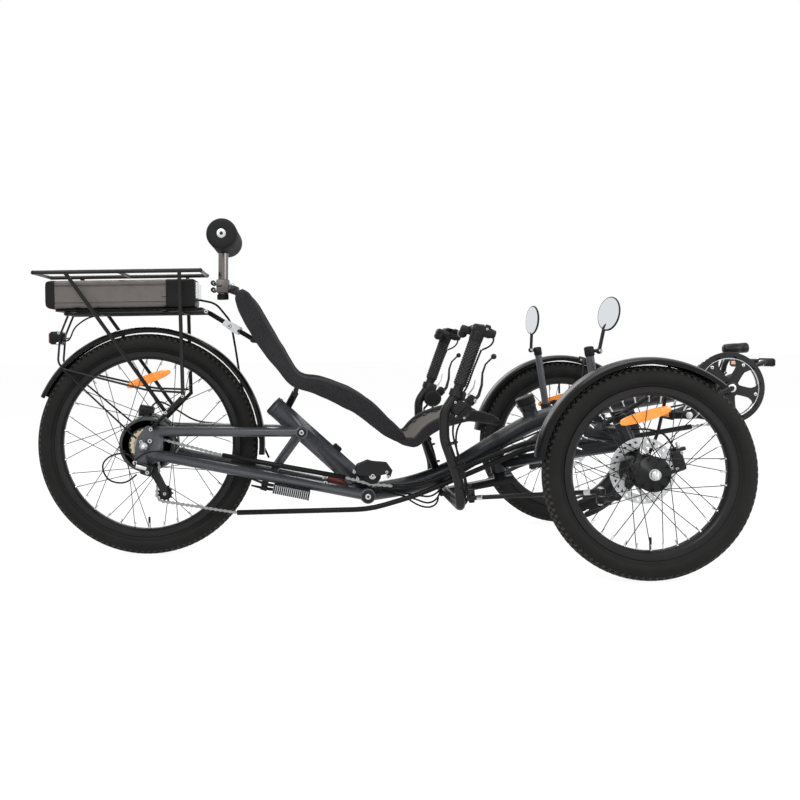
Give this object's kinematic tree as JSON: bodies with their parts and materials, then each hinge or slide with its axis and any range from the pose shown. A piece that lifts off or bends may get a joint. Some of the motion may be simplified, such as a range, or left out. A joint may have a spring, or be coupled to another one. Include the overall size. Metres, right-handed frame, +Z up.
{
  "type": "recumbent tricycle",
  "caption": "Recumbent trike with two steered wheels in front, a hub motor in the rear wheel, a reclined seat with side rails, and a rack that carries a battery.",
  "frame": {"origin": "on the ground under the middle of the bounding box", "axes": "+X towards the front, +Y towards the rider's left, +Z up"},
  "size_m": [2.0882, 0.842, 0.908],
  "materials": {
    "frame_black": "gloss",
    "frame_graphite": "satin",
    "black_metal": "satin",
    "rack_paint": "satin",
    "battery_case": "satin",
    "black_plastic": "matte",
    "red_lens": "gloss",
    "red_brown": "satin",
    "seat_fabric": "matte",
    "seat_mesh": "matte",
    "steel": "satin",
    "tyre_rubber": "matte",
    "rubber": "matte",
    "alloy": "satin",
    "spoke_steel": "satin",
    "cog_brass": "satin"
  },
  "bodies": {
    "frame": {"main_tube": "frame_black", "diagonal_tube": "frame_graphite", "cross_arms": "frame_black", "boom": "frame_black", "swingarm": "frame_graphite", "shock": "red_brown", "rear_axle": "steel", "rear_rack": "rack_paint", "battery": "battery_case", "battery_base": "black_plastic", "tail_light": "red_lens", "rear_stays": "black_metal", "rear_mudguard": "black_plastic", "seat_rails": "black_metal", "back_pad": "seat_fabric", "seat_pad": "seat_fabric", "seat_sling": "seat_mesh", "headrest_post": "black_metal", "headrest_pad": "seat_fabric", "mirrors": "black_plastic", "chain": "steel", "chain_tubes": "black_plastic", "idler": "black_plastic", "derailleur": "black_metal", "rear_caliper": "black_metal", "controller_box": "alloy", "headlight": "black_metal", "frame_cables": "rubber"},
    "rear_wheel": {"rear_tyre": "tyre_rubber", "rear_rim": "black_metal", "rear_spokes": "spoke_steel", "hub_motor": "black_metal", "cassette": "cog_brass", "rear_rotor": "steel"},
    "handlebar": {"handlebar": "black_metal", "grips": "rubber", "bar_controls": "black_plastic"},
    "right_link": {"right_drag_link": "black_metal"},
    "left_link": {"left_drag_link": "black_metal"},
    "crankset": {"crank_arms": "black_metal", "chainring": "black_metal"},
    "right_pedal": {"right_pedal": "black_plastic"},
    "left_pedal": {"left_pedal": "black_plastic"},
    "right_wheel": {"right_tyre": "tyre_rubber", "right_rim": "black_metal", "right_spokes": "spoke_steel", "right_hub": "black_metal", "right_rotor": "steel"},
    "right_knuckle": {"right_knuckle": "black_metal", "right_caliper": "black_metal", "right_mudguard": "black_plastic"},
    "left_wheel": {"left_tyre": "tyre_rubber", "left_rim": "black_metal", "left_spokes": "spoke_steel", "left_hub": "black_metal", "left_rotor": "steel"},
    "left_knuckle": {"left_knuckle": "black_metal", "left_caliper": "black_metal", "left_mudguard": "black_plastic"}
  },
  "joints": [
    {"name": "rear_wheel_spin", "type": "hinge", "parent": "frame", "child": "rear_wheel", "pos_m": [-0.74056, 0, 0.3035], "axis": [0, 1, 0], "continuous": true},
    {"name": "crank_spin", "type": "hinge", "parent": "frame", "child": "crankset", "pos_m": [0.83944, 0, 0.437], "axis": [0, 1, 0], "continuous": true},
    {"name": "right_pedal_spin", "type": "hinge", "parent": "crankset", "child": "right_pedal", "pos_m": [0.68182, -0.133, 0.37332], "axis": [0, 1, 0], "continuous": true},
    {"name": "left_pedal_spin", "type": "hinge", "parent": "crankset", "child": "left_pedal", "pos_m": [0.99706, 0.133, 0.50068], "axis": [0, 1, 0], "continuous": true},
    {"name": "bar_steer", "type": "hinge", "parent": "frame", "child": "handlebar", "pos_m": [0.22644, 0, 0.212], "axis": [-0.1736, 0, 0.9848], "range_deg": [-20, 20]},
    {"name": "right_steer", "type": "hinge", "parent": "frame", "child": "right_knuckle", "pos_m": [0.46244, -0.29, 0.376], "axis": [-0.3383, 0.1472, 0.9295], "range_deg": [-25, 25]},
    {"name": "left_steer", "type": "hinge", "parent": "frame", "child": "left_knuckle", "pos_m": [0.46244, 0.29, 0.376], "axis": [-0.3383, -0.1472, 0.9295], "range_deg": [-25, 25]},
    {"name": "right_wheel_spin", "type": "hinge", "parent": "right_knuckle", "child": "right_wheel", "pos_m": [0.50244, -0.375, 0.254], "axis": [0, 1, 0], "continuous": true},
    {"name": "left_wheel_spin", "type": "hinge", "parent": "left_knuckle", "child": "left_wheel", "pos_m": [0.50244, 0.375, 0.254], "axis": [0, 1, 0], "continuous": true},
    {"name": "right_link_swing", "type": "hinge", "parent": "handlebar", "child": "right_link", "pos_m": [0.13944, -0.058, 0.15], "axis": [-0.0976, 0, 0.9952], "range_deg": [-24, 24]},
    {"name": "left_link_swing", "type": "hinge", "parent": "handlebar", "child": "left_link", "pos_m": [0.13944, 0.058, 0.15], "axis": [-0.0976, 0, 0.9952], "range_deg": [-24, 24]}
  ],
  "couplings": [
    {"joint": "right_steer", "follows": "bar_steer", "ratio": 1.25},
    {"joint": "left_steer", "follows": "bar_steer", "ratio": 1.25},
    {"joint": "right_link_swing", "follows": "bar_steer", "ratio": -1.157},
    {"joint": "left_link_swing", "follows": "bar_steer", "ratio": -1.157}
  ]
}
